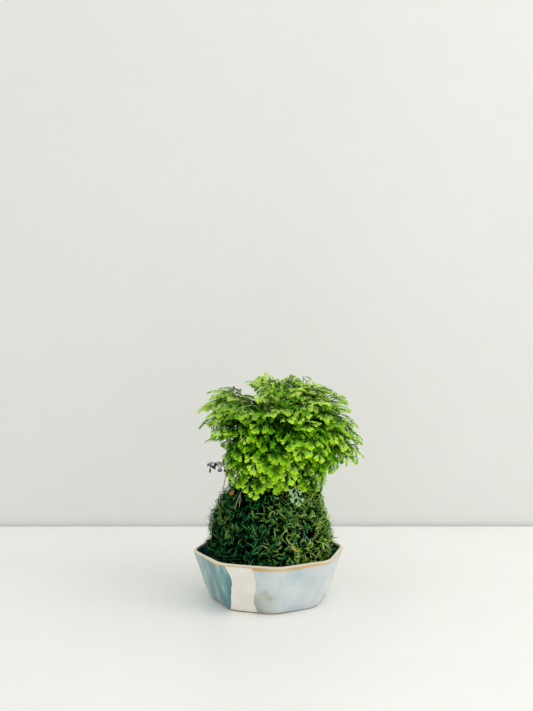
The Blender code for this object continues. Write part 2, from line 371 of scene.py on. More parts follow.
def stage():
    """A plain pale table and a plain pale wall behind it."""
    size, low = 2 * STAGE_HALF, 0.02  # the wall starts this far below the table's top
    paint = rough_material("painted table", srgb(249, 249, 245), 0.45, 60, 0.012, 0.00003, 0.35)
    deselect()
    bpy.ops.mesh.primitive_plane_add(size=size, location=(0, WALL_Y - SEAM - STAGE_HALF, 0))
    stage_piece("table", paint)
    # A dark grey strip fills the gap between the table and the wall: painted shadow
    dark = rough_material("shadow gap", srgb(128, 129, 122), 0.9, 60, 0.02, 0.00003, 0.1)
    deselect()
    bpy.ops.mesh.primitive_cube_add(
        size=1, location=(0, WALL_Y - SEAM / 2, -0.0015), scale=(size, SEAM, 0.001)
    )
    stage_piece("seam", dark)
    paint = rough_material("painted wall", srgb(232, 233, 228), 0.9, 30, 0.012, 0.00003, 0.2)
    deselect()
    bpy.ops.mesh.primitive_plane_add(
        size=size, location=(0, WALL_Y, STAGE_HALF - low), rotation=(math.pi / 2, 0, 0)
    )
    stage_piece("wall", open_from_behind(paint))


def area_light(name, place_at, aim, size, power, colour):
    data = bpy.data.lights.new(name, "AREA")
    data.shape = "DISK"
    data.size = size
    data.energy = power
    data.color = colour
    made = link(name, data)
    made.location = place_at
    made.rotation_euler = (Vector(aim) - Vector(place_at)).to_track_quat("-Z", "Y").to_euler()


def lights():
    world = bpy.data.worlds.new("room")
    world.use_nodes = True
    background = world.node_tree.nodes["Background"]
    background.inputs["Color"].default_value = (0.975, 0.972, 0.985, 1)
    background.inputs["Strength"].default_value = 0.93
    bpy.context.scene.world = world
    area_light("window", (0.90, -0.42, 0.95), (0, 0, 0.08), 0.9, 3.7, (1.0, 0.98, 0.94))
    bpy.context.scene.view_settings.view_transform = "Standard"


# Bowl

BOWL_TURN = math.radians(6)
BOWL_SIDES = 8
BOWL_WALL = 0.0028
CORNER_ROUNDING = 0.0065
FOOT_ROUNDING = 0.0012
LIP_ROUNDING = 0.0011
# (height, radius to a corner before it is rounded), from the foot up
BOWL_RINGS = (
    (0.0000, 0.0512), (0.0045, 0.0542), (0.0140, 0.0582), (0.0280, 0.0629), (0.0426, 0.0680)
)
GLAZED_HEIGHT = 0.042  # where the rim's band is measured from
WOBBLE = 0.0007  # how far the hand-made wall strays
RIM_WAVE = 0.0009  # how far the rim rises and dips
RIM_FRONT = 0.0012  # how much the front of the rim is higher


def bowl():
    """An eight-sided dish, pinched out by hand, so that no side is quite straight."""
    deselect()
    foot, top = BOWL_RINGS[0], BOWL_RINGS[-1]
    bpy.ops.mesh.primitive_cylinder_add(
        vertices=BOWL_SIDES, radius=foot[1], depth=top[0], location=(0, 0, top[0] / 2)
    )
    made = named("stoneware_bowl")
    made.rotation_euler.z = BOWL_TURN
    finish_place(made)
    select_where(made, "polygons", lambda face: face.normal.z > 0.9)
    bpy.ops.mesh.delete(type="ONLY_FACE")
    for height, _ in BOWL_RINGS[1:-1]:
        bpy.ops.mesh.select_all(action="SELECT")
        bpy.ops.mesh.bisect(plane_co=(0, 0, height), plane_no=(0, 0, 1))
    for height, radius in BOWL_RINGS[1:]:
        select_where(made, "vertices", lambda spot: abs(spot.co.z - height) < 1e-5)
        share = radius / foot[1]
        bpy.ops.transform.resize(value=(share, share, 1), center_override=(0, 0, height))

    def heights(edge):
        return [made.data.vertices[i].co.z for i in edge.vertices]

    select_where(made, "edges", lambda edge: max(heights(edge)) - min(heights(edge)) > 0.001)
    bpy.ops.mesh.bevel(offset=CORNER_ROUNDING, segments=5, affect="EDGES")
    bpy.ops.mesh.select_all(action="SELECT")
    bpy.ops.mesh.remove_doubles(threshold=0.00005)
    bpy.ops.mesh.normals_make_consistent(inside=False)
    select_where(made, "edges", lambda edge: max(heights(edge)) < 1e-5)
    bpy.ops.mesh.bevel(offset=FOOT_ROUNDING, segments=3, affect="EDGES")
    bpy.ops.object.mode_set(mode="OBJECT")
    wall = made.modifiers.new("wall", "SOLIDIFY")
    wall.thickness = BOWL_WALL
    wall.offset = -1
    wall.use_even_offset = True
    apply_modifiers(made)
    lip = made.modifiers.new("lip", "BEVEL")
    lip.width = LIP_ROUNDING
    lip.segments = 4
    lip.limit_method = "ANGLE"
    lip.angle_limit = math.radians(60)
    apply_modifiers(made)
    cuts = made.modifiers.new("finer", "SUBSURF")
    cuts.subdivision_type = "SIMPLE"
    cuts.levels = cuts.render_levels = 2
    apply_modifiers(made)
    for vertex in made.data.vertices:
        out = Vector((vertex.co.x, vertex.co.y, 0)).normalized()
        slow = noise.noise(vertex.co * 22 + Vector((3, 1, 7)))
        quick = noise.noise(vertex.co * 75 + Vector((9, 2, 4)))
        rise = vertex.co.z / BOWL_RINGS[-1][0]
        vertex.co += out * (WOBBLE * slow + 0.22 * WOBBLE * quick)
        wave = noise.noise(Vector((out.x * 2, out.y * 2, 5)))
        vertex.co.z += rise * (RIM_WAVE * wave + RIM_FRONT * max(-out.y, 0) ** 2)
    activate(made)
    bpy.ops.object.shade_smooth_by_angle(angle=math.radians(38))
    made.data.materials.append(glaze())
    return place(made, "glazed_stoneware", "bowl")


def glaze():
    """Teal glaze on the left, pale blue-grey on the right, and a bare stripe between the two."""
    made, tree, shader = new_material("dipped glazes", 0.22)
    times, plus, minus, between, mix = tree.times, tree.plus, tree.minus, tree.between, tree.mix
    where = tree.add("ShaderNodeTexCoord").outputs["Object"]
    x, y, z = tree.add("ShaderNodeSeparateXYZ", Vector=where).outputs
    rise = tree.maths("DIVIDE", z, GLAZED_HEIGHT)
    stretch = tree.add("ShaderNodeMapping", Vector=where, Scale=(1.0, 1.0, 0.16)).outputs[0]
    wavy = tree.noise(where, 70.0, 2.0)
    runs = tree.noise(stretch, 95.0, 3.0, 0.6)
    soft = tree.noise(where, 38.0, 3.0)

    # How far a point is past each edge of the stripe
    uneven = minus(wavy, 0.5)
    wave = times(uneven, 0.0045)
    swell = times(tree.maths("SINE", times(rise, math.pi)), 0.0032)
    snake = tree.maths("SINE", times(rise, 2 * math.pi))
    left_edge = plus(times(rise, -0.0042), -0.0324, swell, wave, times(snake, -0.0013))
    right_edge = plus(times(rise, -0.0048), -0.0092, times(snake, -0.0019), times(wave, 0.7))
    past_left, past_right = minus(x, left_edge), minus(x, right_edge)
    on_right = between(past_right, -0.0003, 0.0005)
    off_left = between(past_left, -0.0005, 0.0003)

    teal = tree.ramp(
        runs,
        (0.30, 70, 112, 122),
        (0.45, 96, 144, 148),
        (0.56, 132, 168, 164),
        (0.68, 172, 194, 184),
    )
    beside = times(between(past_left, -0.0022, -0.0008), 0.55)
    teal = mix(beside, teal, srgb(66, 132, 158))
    far = times(between(past_left, -0.0130, -0.0230), 0.75)
    teal = mix(far, teal, tree.ramp(runs, (0.35, 134, 166, 166), (0.65, 172, 194, 186)))
    teal = mix(times(between(rise, 0.42, 0.05), 0.35), teal, srgb(60, 108, 122))

    pale = tree.ramp(soft, (0.32, 186, 200, 203), (0.52, 203, 213, 215), (0.70, 216, 221, 219))
    sage = times(between(past_right, 0.026, 0.001), between(rise, 0.62, 0.08), 0.8)
    pale = mix(sage, pale, srgb(180, 186, 170))
    edge = times(between(past_right, 0.008, 0.001), between(rise, 0.55, 0.2), 0.6)
    pale = mix(edge, pale, srgb(146, 162, 158))
    patch = times(between(past_right, 0.002, 0.007), between(past_right, 0.020, 0.012))
    patch = times(patch, between(rise, 0.26, 0.40), between(rise, 0.62, 0.50))
    patch = times(patch, between(wavy, 0.36, 0.56), 0.75)
    pale = mix(patch, pale, srgb(172, 172, 128))
    pale = mix(times(between(runs, 0.52, 0.66), 0.25), pale, srgb(172, 194, 204))

    bare = tree.ramp(wavy, (0.3, 232, 228, 214), (0.7, 241, 239, 229))
    outside = mix(off_left, teal, mix(on_right, bare, pale))
    # The lip: an ochre band where the glaze thins, cream on top
    lip_edge = plus(minus(1.008, times(on_right, 0.040)), times(uneven, 0.05))
    lip = between(minus(rise, lip_edge), -0.012, 0.02)
    outside = mix(lip, outside, tree.ramp(soft, (0.35, 192, 158, 100), (0.65, 218, 194, 142)))
    normal = tree.add("ShaderNodeNewGeometry").outputs["Normal"]
    face_x, face_y, face_z = tree.add("ShaderNodeSeparateXYZ", Vector=normal).outputs
    top = times(between(face_z, 0.72, 0.94), between(rise, 0.9, 0.95))
    outside = mix(top, outside, srgb(236, 227, 204))
    foot = between(plus(rise, times(uneven, 0.03)), 0.035, 0.012)
    outside = mix(foot, outside, srgb(150, 128, 96))

    # The inside is one dark glaze, on the faces that look towards the axis and on the floor
    across = plus(times(face_x, x), times(face_y, y))
    inside = times(between(across, 0.006, -0.002), between(rise, 1.004, 0.985))
    floor = times(between(face_z, 0.6, 0.9), between(rise, 0.3, 0.2))
    inside = tree.maths("MAXIMUM", inside, floor)
    dark = tree.ramp(runs, (0.3, 18, 72, 80), (0.7, 44, 112, 116))
    tree.put(shader, "Base Color", mix(inside, outside, dark))
    bare_stripe = times(off_left, minus(1.0, on_right))
    rough = tree.maths("MAXIMUM", times(bare_stripe, 0.55), times(lip, 0.15))
    rough = tree.maths("MAXIMUM", rough, times(foot, 0.5))
    tree.put(shader, "Roughness", plus(times(rough, minus(1.0, inside)), 0.2))
    relief = plus(times(soft, 1.2), times(tree.noise(where, 900.0, 3.0), rough, 0.35))
    bump = tree.add("ShaderNodeBump", Height=relief, Distance=0.0008, Strength=0.8)
    tree.put(shader, "Normal", bump.outputs[0])
    return made


# Leaves: modelled once each, then copied into every shoot and frond


def modelled_leaf(name, sides, width, keel, forward):
    """A leaf from the origin to (1, 0, 0), folded along its middle: its points and triangles."""
    deselect()
    bpy.ops.mesh.primitive_circle_add(vertices=sides, radius=0.5, fill_type="NOTHING")
    leaf = named(name)
    bpy.ops.object.mode_set(mode="EDIT")
    bpy.ops.mesh.select_all(action="SELECT")
    bpy.ops.transform.rotate(value=math.pi / 2, orient_axis="Z", center_override=(0, 0, 0))
    bpy.ops.transform.resize(value=(1, width, 1))
    bpy.ops.transform.translate(value=(0.5, 0, 0))
    select_where(leaf, "vertices", lambda spot: abs(spot.co.y) > 0.05)
    bpy.ops.transform.translate(value=(forward, 0, keel))
    bpy.ops.object.mode_set(mode="OBJECT")
    points = np.array([vertex.co for vertex in leaf.data.vertices])
    bpy.data.objects.remove(leaf)
    # In order round the leaf, from its base
    turn = np.arctan2(points[:, 1], points[:, 0] - 0.5 - 0.3 * forward)
    points = points[np.argsort(np.mod(turn - math.pi, 2 * math.pi))]
    points = np.roll(points, -int(np.argmin(points[:, 0])), axis=0)
    return points, np.array([(0, i, i + 1) for i in range(1, sides - 1)])


def bent(path, along):
    """Points of a flat path at these distances along it, its directions there and its length."""
    lengths = np.concatenate([[0], np.cumsum(np.hypot(*np.diff(path, axis=0).T))])

    def at(distances):
        return np.stack([np.interp(distances, lengths, path[:, k]) for k in range(2)], axis=1)

    return at(along), unit(at(along + 0.3) - at(along - 0.3)), lengths[-1]


# Fronds. All sizes of the fans are in millimetres, in the fan's own plane: x outwards, y across

LEAF_STEP = 1.05
FAN_LENGTH = 20.0
FAN_KINDS = 8
TIP_COLOUR = 7.0  # how far from a tip the colour of new growth reaches
PALE_START = 0.5  # in the UV map, v below this is blade and above it is midrib
# (share of the main axis, degrees off it, length as a share of what is left, forks)
FAN_SIDES = ((0.15, 62, 0.76, 2), (0.33, 53, 0.80, 1), (0.51, 42, 0.84, 1), (0.69, 33, 0.88, 0))


def arc_path(start, heading, length, turn, steps=10):
    """A path from start that turns by turn radians over its length."""
    angles = heading + turn * (np.arange(steps) + 0.5) / steps
    moves = np.stack([np.cos(angles), np.sin(angles)], axis=1) * length / steps
    return np.concatenate([[start], start + np.cumsum(moves, axis=0)])


def fork_from(paths, branch, length, share, side, part, chance):
    spots, ways, _ = bent(branch, np.array([share * length]))
    heading = math.atan2(ways[0][1], ways[0][0]) + side * math.radians(chance.uniform(32, 42))
    paths.append(arc_path(spots[0], heading, part * length, -side * 0.4, 6))


def fan_paths(chance, narrow):
    """The forked axes of one fan. A narrow one has longer fingers, swept forward."""
    main = arc_path(np.zeros(2), 0, FAN_LENGTH, chance.uniform(-0.25, 0.25))
    paths = [main]
    side = chance.choice((-1, 1))
    for share, off, part, forks in FAN_SIDES:
        side = -side
        spots, ways, _ = bent(main, np.array([share * FAN_LENGTH]))
        off = math.radians(off * (0.72 if narrow else 1.0) + chance.uniform(-4, 4))
        heading = math.atan2(ways[0][1], ways[0][0]) + side * off
        length = FAN_LENGTH * (1 - share) * part * chance.uniform(0.88, 1.06)
        branch = arc_path(spots[0], heading, length, -side * chance.uniform(0.3, 0.6))
        paths.append(branch)
        if forks > 0:
            fork_from(paths, branch, length, 0.46, side, 0.46, chance)
        if forks > 1 and not narrow:
            fork_from(paths, branch, length, 0.64, -side, 0.34, chance)
    fork_from(paths, main, FAN_LENGTH, 0.86, -side, 0.13, chance)
    return paths


def fan_kind(chance, leaf, narrow):
    """One kind of fan: its points (x, y, height), triangles and UVs, with u from -1 to 1."""
    leaf_points, leaf_faces = leaf
    heap = Heap()
    for path in fan_paths(chance, narrow):
        total = bent(path, np.zeros(1))[2]
        n = max(int(total / LEAF_STEP), 3)
        along = (np.arange(n) + 0.4) * total / n
        spots, ways, _ = bent(path, along)
        sides = np.stack([-ways[:, 1], ways[:, 0]], axis=1)
        to_end = total - along
        tipness = np.clip(1 - (to_end + 0.4) / TIP_COLOUR, 0.02, 0.98)
        least, more = (0.70, 0.44) if narrow else (0.66, 0.58)
        half = least + more * smoothstep(-to_end, -3.8, -0.9)
        open_angle = np.radians(54 - 30 * smoothstep(-to_end, -2.6, -0.3))
        for side in (-1, 1):
            turned = leaf_faces if side > 0 else leaf_faces[:, ::-1]
            for i in range(n):
                angle = open_angle[i] + chance.uniform(-0.12, 0.12)
                way = ways[i] * math.cos(angle) + sides[i] * side * math.sin(angle)
                across = np.array([-way[1], way[0]]) * side
                long = half[i] * chance.uniform(1.05, 1.3) / max(math.sin(angle), 0.62)
                foot = spots[i] + sides[i] * side * 0.12
                flat = foot + (leaf_points[:, :1] * way + leaf_points[:, 1:2] * across) * long
                lean = chance.uniform(-0.62, 0.40)
                height = leaf_points @ [lean, 0.16, 1.0] * long + 0.10 + 0.05 * (i % 2)
                u = chance.uniform(-1, 1) + 0.3 * leaf_points[:, 1]
                v = np.clip(tipness[i] + 0.05 * leaf_points[:, 0], 0.01, 0.99) * 0.48
                heap.put(np.column_stack([flat, height]), turned, np.column_stack([u, v]))
        # The midrib is a raised ridge
        reach = np.linspace(0, total - 0.5, max(int(total / 1.6), 3))
        n = len(reach)
        spots, ways, _ = bent(path, reach)
        sides = np.stack([-ways[:, 1], ways[:, 0]], axis=1) * (0.38 - 0.08 * reach / total)[:, None]
        rows = [
            np.column_stack([spots + sides * k, np.full(n, height)])
            for k, height in ((-1, 0.05), (0, 0.42), (1, 0.05))
        ]
        starts = (3 * np.arange(n - 1)[:, None] + [0, 1]).reshape(-1, 1)
        faces = (starts + [0, 3, 4, 0, 4, 1]).reshape(-1, 3)
        tip = np.clip(1 - (total - reach) / TIP_COLOUR, 0.02, 0.98)
        v = PALE_START + 0.01 + 0.48 * np.repeat(tip, 3)
        uvs = np.column_stack([np.tile([-0.5, 0, 0.5], n), v])
        heap.put(np.stack(rows, axis=1).reshape(-1, 3), faces, uvs)
    return heap.joined()


def curl(points, tilt, droop, cup):
    """Bends a flat fan: it rises by tilt at its base, turns down by droop a mm, and cups."""
    x, y, height = points.T
    angle = tilt - droop * x
    forward = (math.sin(tilt) - np.sin(angle)) / droop
    up = (np.cos(angle) - math.cos(tilt)) / droop
    lift = height - cup * y * y
    return np.column_stack([forward - lift * np.sin(angle), y, up + lift * np.cos(angle)])


def tube(path, radii, sides=6):
    """A tapering tube along a path (n, 3): its points, triangles and each point's share along."""
    path = np.asarray(path, float)
    n = len(path)
    ways = unit(np.gradient(path, axis=0))
    first = unit(np.cross(ways, ASKEW))
    second = np.cross(ways, first)
    angles = (2 * math.pi * np.arange(sides) / sides)[None, :, None]
    ring = np.cos(angles) * first[:, None] + np.sin(angles) * second[:, None]
    points = (path[:, None] + np.broadcast_to(radii, n)[:, None, None] * ring).reshape(-1, 3)
    rows = sides * np.arange(n - 1)[:, None]
    a, b = rows + np.arange(sides), rows + (np.arange(sides) + 1) % sides
    walls = np.stack([a, b, a + sides, b, b + sides, a + sides], axis=-1).reshape(-1, 3)
    end = (n - 1) * sides
    steps = np.arange(1, sides - 1)[:, None] * [0, 1, 1, 0, 1, 1]
    caps = (steps + [0, 1, 0, end, end, end + 1]).reshape(-1, 3)
    return points, np.concatenate([walls, caps]), np.repeat(np.linspace(0, 1, n), sides)


class Heap:
    """Gathers points, triangles and UVs into one piece."""

    def __init__(self):
        self.points, self.faces, self.uvs, self.count = [], [], [], 0

    def put(self, points, faces, uvs):
        self.points.append(points)
        self.faces.append(faces + self.count)
        self.uvs.append(uvs)
        self.count += len(points)

    def joined(self):
        return np.concatenate(self.points), np.concatenate(self.faces), np.concatenate(self.uvs)

    def piece(self, name, material):
        points, faces, uvs = self.joined()
        return mesh_piece(name, points, faces, np.clip(uvs, 0.002, 0.998), material)


def crown():
    low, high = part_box("rootstock")
    return np.array([(low.x + high.x) / 2, (low.y + high.y) / 2, high.z])


CROWN = crown()


def spine(node):
    """The middle line of a CAD frond or stem, from the crown outwards, as a curve's 3 points."""
    points = vertices_of(node)
    order = np.argsort(np.hypot(*(points - CROWN)[:, :2].T))
    few = max(len(order) // 7, 3)
    start = len(order) // 2 - few // 2
    halfway = order[start : start + 2 * (few // 2) + 1]
    root, middle, tip = (points[part].mean(axis=0) for part in (order[:few], halfway, order[-few:]))
    return root, 2 * middle - (root + tip) / 2, tip


def curve_point(three, share):
    a, b, c = three
    point = (1 - share) ** 2 * a + 2 * share * (1 - share) * b + share**2 * c
    way = unit(2 * (1 - share) * (b - a) + 2 * share * (c - b))
    return point, way


# (share of the spine, side, spread in degrees, size)
FANS = (
    (0.02, -1, 70, 0.66),
    (0.08, 1, 66, 0.72),
    (0.17, -1, 58, 0.82),
    (0.26, 1, 54, 0.88),
    (0.35, -1, 50, 0.92),
    (0.44, 1, 46, 0.94),
    (0.52, -1, 38, 0.94),
    (0.60, 1, 34, 0.92),
    (0.66, 0, 0, 0.96),
    (0.34, 0, 8, 0.80),
)


HANGING = (0.18, 0.36, 0.52, 0.66, 0.80, 0.92)  # the shares of the spine where fans hang


def in_bay(points):
    """Which of these points would close one of the gaps in the tuft."""
    across, height = points[:, 0], points[:, 2]
    return np.any([np.hypot(across - x, height - z) < radius for x, z, radius in BAYS], axis=0)


def put_fan(heap, kind, base, forward, up, scale, tilt, droop, tint, chance):
    """Adds one fan to a heap, standing at base, growing forward, with its upper face towards up."""
    flat, faces, uvs = kind
    flat = flat * [1, chance.choice((-1, 1)), 1]
    shape = curl(flat, math.radians(tilt), math.radians(droop), chance.uniform(0.006, 0.02))
    points = laid(shape, base, forward, np.cross(up, forward), up, scale * MM)
    if in_bay(points).mean() > 0.25:
        return
    # Leaves deep inside the tuft are drawn darker: painted shade
    heights, left, right = np.array(CANOPY).T
    offset = points - CROWN
    flat = np.hypot(offset[:, 0], offset[:, 1])
    reach = np.interp(points[:, 2], heights, (left + right) / 2)
    below_top = smoothstep(heights[-1] - points[:, 2], 0.012, 0.034)
    painted_depth_shade = smoothstep(reach - flat, 0.007, 0.028) * below_top
    # None at the outline, seen against the light, is black
    at_side = smoothstep(np.abs(offset[:, 0]), 0.036, 0.046)
    rim = np.maximum(at_side, smoothstep(points[:, 2], 0.174, 0.184))
    u = np.maximum(tint, 0.28 * rim) * (1 - 0.88 * painted_depth_shade) + 0.03 * uvs[:, 0]
    heap.put(points, faces, np.column_stack([np.clip(u, 0.01, 0.99), uvs[:, 1]]))


def rolled(forward, up, degrees):
    side = np.cross(up, forward)
    return up * math.cos(math.radians(degrees)) - side * math.sin(math.radians(degrees))


# The outline of the whole tuft: (height, reach to -X, reach to +X) from the crown's axis
CANOPY = (
    (0.091, 0.026, 0.026),
    (0.103, 0.047, 0.050),
    (0.115, 0.048, 0.058),
    (0.126, 0.050, 0.079),
    (0.146, 0.057, 0.073),
    (0.157, 0.063, 0.074),
    (0.168, 0.066, 0.065),
    (0.180, 0.061, 0.060),
    (0.186, 0.046, 0.050),
    (0.192, 0.026, 0.032),
    (0.197, 0.006, 0.006),
)


def canopy_reach(height, across):
    """How far the tuft reaches at this height, in a direction whose X share is across."""
    heights, left, right = np.array(CANOPY).T
    weight = 0.5 + 0.5 * across
    left, right = np.interp(height, heights, left), np.interp(height, heights, right)
    return float(left * (1 - weight) + right * weight)


def inside_canopy(point, margin):
    offset = point - CROWN
    flat = math.hypot(offset[0], offset[1])
    low, high = CANOPY[0][0], CANOPY[-1][0]
    if not low - margin < point[2] < high + margin:
        return False
    return flat < canopy_reach(point[2], offset[0] / (flat + 1e-9)) + margin


def random_kind(kinds, narrow_share, chance):
    narrow = chance.random() < narrow_share
    return kinds[narrow][chance.randrange(len(kinds[narrow]))]


def within(value, low=0.04, high=0.94):
    return min(max(value, low), high)


def try_fan(heap, kind, base, forward, up, scale, tilt, droop, tint, chance):
    """Adds a fan at the largest of three sizes that keeps its tip in the tuft, if any does."""
    for share in (1, 0.85, 0.7):
        tip = base + forward * FAN_LENGTH * MM * scale * share * 0.95
        if inside_canopy(tip, 0.0015):
            put_fan(heap, kind, base, forward, up, scale * share, tilt, droop, tint, chance)
            break


def frond(number, kinds, chance, heap):
    """A compound frond along its CAD blade: a pale stalk, with fans at its end and sides."""
    three = spine(f"frond_{number:02d}")
    length = sum(np.linalg.norm(three[i + 1] - three[i]) for i in range(2))
    height = smoothstep(three[1][2], CROWN[2], CROWN[2] + 0.06)
    stalk = np.array([curve_point(three, share)[0] for share in np.linspace(0, 0.72, 9)])
    points, faces, along = tube(stalk, np.linspace(0.00055, 0.00035, len(stalk)), 5)
    ring = np.tile(np.linspace(-0.03, 0.03, 5), len(stalk))
    heap.put(points, faces, np.column_stack([0.6 + ring, PALE_START + 0.05 + 0.35 * along]))
    for share, side, spread, size in FANS:
        share = within(share + chance.uniform(-0.03, 0.03), 0.01, 0.75)
        base, way = curve_point(three, share)
        across = unit(np.cross(way, UP))
        angle = math.radians(side * spread + chance.uniform(-10, 10))
        forward = way * math.cos(angle) + across * math.sin(angle)
        up = rolled(forward, np.cross(across, way), chance.uniform(-26, 26) + 12 * side)
        room = within(length * (1 - share) / (FAN_LENGTH * MM) * 1.35, 0.72, 1.0)
        scale = size * (1 - 0.22 * height) * chance.uniform(0.88, 1.12) * room
        tilt = chance.uniform(4, 26) - 4 * height
        tint = within(0.50 - 0.10 * height + chance.gauss(0, 0.2))
        kind = random_kind(kinds, 0.15 + 0.8 * height, chance)
        droop = chance.uniform(2.2, 4.6)
        try_fan(heap, kind, base, forward, up, scale, tilt, droop, tint, chance)
    side = chance.choice((-1, 1))
    for share in HANGING:
        side = -side
        base, way = curve_point(three, share * chance.uniform(0.9, 1.1))
        fall, swing = chance.uniform(18, 62), side * chance.uniform(8, 62)
        roll = chance.uniform(-28, 28)
        forward, up = facing(unit(way * [1, 1, 0]), fall, -swing, roll)
        # Hanging fans nearer the crown take lower tints and are drawn darker: painted shade
        tint = within(0.30 + 0.30 * share + chance.gauss(0, 0.2))
        scale = chance.uniform(0.74, 0.98) * (1 - 0.2 * height)
        kind = random_kind(kinds, 0.3, chance)
        tilt, droop = chance.uniform(0, 26), chance.uniform(1.5, 3.6)
        try_fan(heap, kind, base, forward, up, scale, tilt, droop, tint, chance)


SPRAYS = 144
TWIG_RADIUS = 0.00035
SPRAY_GAP = 0.0130  # the least distance between two sprays' tips
LONGEST_TWIG = 0.024
SPRAY_LENGTH = 0.019  # from its first fan's base to the base of the one at its end
# (share of the spray's length, degrees off it, size)
SPRAY_FANS = (
    (0.00, -54, 0.82), (0.22, 50, 0.86), (0.52, -42, 0.92), (0.78, 34, 0.94), (1.0, -6, 0.96)
)
# Gaps between two lobes of the tuft, seen from the front: (x, height, radius)
BAYS = ((-0.0245, 0.188, 0.0085), (-0.0110, 0.1765, 0.0055), (-0.019, 0.180, 0.004))


def frond_spots():
    """Points along every frond inside the tuft, and the frond's number."""
    spots, owners = [], []
    for number in range(1, FRONDS + 1):
        three = spine(f"frond_{number:02d}")
        for share in np.linspace(0.0, 0.85, 12):
            spot = curve_point(three, share)[0]
            if inside_canopy(spot, -0.006):
                spots.append(spot)
                owners.append(number)
    return np.array(spots), owners


def facing(level, fall, swing, roll):
    """The ways that a fan grows and faces, from its heading and three angles in degrees."""
    fall, swing = math.radians(fall), math.radians(swing)
    ahead = level * math.cos(swing) + np.cross(UP, level) * math.sin(swing)
    up = ahead * math.sin(fall) + UP * math.cos(fall)
    forward = ahead * math.cos(fall) - UP * math.sin(fall)
    return forward, rolled(forward, up, roll)


# Sprays at the tuft's outline and in its brightest clusters: (x, y, height, degrees of fall, tint)
SHOWN_SPRAYS = (
    (-0.058, -0.002, 0.169, 6, 0.50),
    (-0.053, -0.012, 0.178, -8, 0.45),
    (-0.049, -0.004, 0.185, -16, 0.42),
    (-0.035, -0.012, 0.186, -30, 0.45),
    (-0.058, -0.002, 0.157, 12, 0.45),
    (-0.048, 0.002, 0.149, 18, 0.40),
    (-0.051, -0.010, 0.143, 8, 0.30),
    (-0.014, -0.004, 0.193, -36, 0.40),
    (-0.002, 0.000, 0.1935, -54, 0.45),
    (0.012, -0.004, 0.194, -46, 0.38),
    (0.029, -0.002, 0.192, -34, 0.42),
    (0.041, 0.002, 0.188, -26, 0.45),
    (0.050, -0.010, 0.185, -18, 0.50),
    (0.062, 0.000, 0.180, -12, 0.55),
    (0.067, -0.008, 0.170, -2, 0.60),
    (0.076, 0.004, 0.157, 6, 0.55),
    (0.075, -0.012, 0.141, 16, 0.60),
    (0.081, -0.002, 0.129, 20, 0.62),
    (0.070, -0.014, 0.128, 18, 0.55),
    (-0.043, -0.025, 0.153, 14, 0.92),
    (-0.026, -0.035, 0.160, 10, 0.72),
    (-0.012, -0.045, 0.151, 12, 0.86),
    (-0.012, -0.055, 0.129, 16, 0.84),
    (0.005, -0.056, 0.136, 12, 0.50),
    (0.017, -0.055, 0.119, 24, 0.90),
    (0.023, -0.050, 0.129, 14, 0.72),
    (0.037, -0.040, 0.137, 16, 0.84),
    (0.035, -0.030, 0.165, 6, 0.90),
    (0.021, -0.036, 0.163, 8, 0.55),
    (0.008, -0.040, 0.161, 10, 0.62),
    (0.052, -0.020, 0.167, 4, 0.66),
    (0.000, -0.040, 0.170, 4, 0.88),
    (0.053, -0.030, 0.131, 16, 0.66),
    (-0.029, -0.042, 0.138, 18, 0.60),
    (0.061, -0.020, 0.143, 14, 0.72),
    (-0.030, -0.034, 0.120, 34, 0.50),
    (-0.046, 0.010, 0.172, -2, 0.48),
    (-0.050, -0.016, 0.162, 8, 0.58),
    (-0.040, -0.022, 0.173, -4, 0.62),
    (-0.046, -0.014, 0.149, 16, 0.46),
    (0.058, -0.016, 0.158, 6, 0.60),
    (0.044, -0.018, 0.178, -8, 0.62),
    (0.062, 0.012, 0.168, 0, 0.50),
)


def narrow_at(height):
    """The share of narrow fans at this height: nearly all are narrow at the top."""
    return 0.08 + 0.84 * smoothstep(height, 0.150, 0.182)


def spray(kinds, chance, heaps, fronds, tip, level, fall, size, tint, curls):
    """One spray that ends at tip, on a twig from the nearest frond. False if none is near."""
    spots, owners = fronds
    swing, roll = chance.uniform(-24, 24), chance.uniform(-20, 20)
    forward, up = facing(level, fall, swing, roll)
    reach = forward * SPRAY_LENGTH * size
    base = tip - forward * (SPRAY_LENGTH + 0.7 * FAN_LENGTH * MM) * size
    gaps = np.linalg.norm(spots - base, axis=1)
    nearest = int(np.argmin(gaps))
    if gaps[nearest] > LONGEST_TWIG:
        return False
    heap, start = heaps[owners[nearest]], spots[nearest]
    arch = up * 0.004 * size
    knee = (start + base) / 2 - forward * gaps[nearest] * 0.2
    twig = [start, knee, base, base + reach / 2 + arch, base + reach]
    hand_twig(heap, twig, TWIG_RADIUS * 1.3, 0.5, PALE_START + 0.1)
    for share, off, fan_size in SPRAY_FANS:
        spot = base + reach * share + arch * 4 * share * (1 - share)
        angle = math.radians(off + chance.uniform(-8, 8))
        ahead = forward * math.cos(angle) + np.cross(up, forward) * math.sin(angle)
        face = rolled(ahead, up, chance.uniform(-18, 18))
        kind = random_kind(kinds, narrow_at(tip[2]), chance)
        fan_tint = within(tint + 0.10 * share + chance.gauss(0, 0.07))
        tilt, droop = chance.uniform(2, 20), chance.uniform(*curls)
        put_fan(heap, kind, spot, ahead, face, fan_size * size, tilt, droop, fan_tint, chance)
    return True


